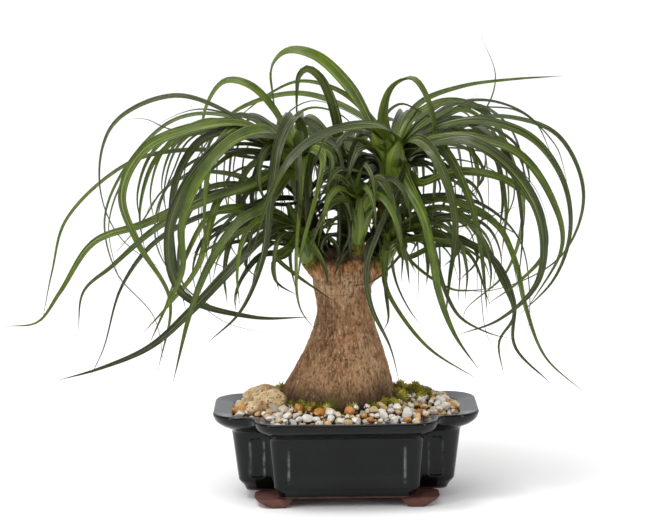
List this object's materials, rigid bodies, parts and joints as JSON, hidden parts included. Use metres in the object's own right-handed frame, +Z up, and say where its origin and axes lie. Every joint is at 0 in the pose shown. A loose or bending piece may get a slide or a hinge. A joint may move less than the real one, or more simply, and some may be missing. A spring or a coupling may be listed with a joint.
{
  "type": "potted ponytail palm",
  "caption": "Potted ponytail palm: bottle-shaped trunk with heads of arching strap leaves, gravel and soil in a lobed glazed bonsai pot on clay feet.",
  "frame": {"origin": "under the middle of the whole plant's bounding box, on the surface the feet stand on", "axes": "+X to the right of the pictured front, which is the plant's longest extent; -Y towards the viewer; +Z up"},
  "size_m": [0.442, 0.2338, 0.345],
  "materials": {
    "glaze": "gloss",
    "bare_clay": "matte",
    "soil": "matte",
    "gravel": "satin",
    "stone": "matte",
    "bark": "matte",
    "leaf": "satin"
  },
  "bodies": {
    "root": {"pot": "glaze", "foot_front_left": "bare_clay", "foot_back_left": "bare_clay", "foot_front_right": "bare_clay", "foot_back_right": "bare_clay", "soil": "soil", "gravel": "gravel", "stone_back": "stone", "stone_front": "stone", "stone_speckled": "stone", "trunk": "bark", "left_head": "leaf", "right_head": "leaf", "left_low_head": "leaf", "right_low_head": "leaf", "front_head": "leaf", "back_head": "leaf"}
  },
  "joints": []
}
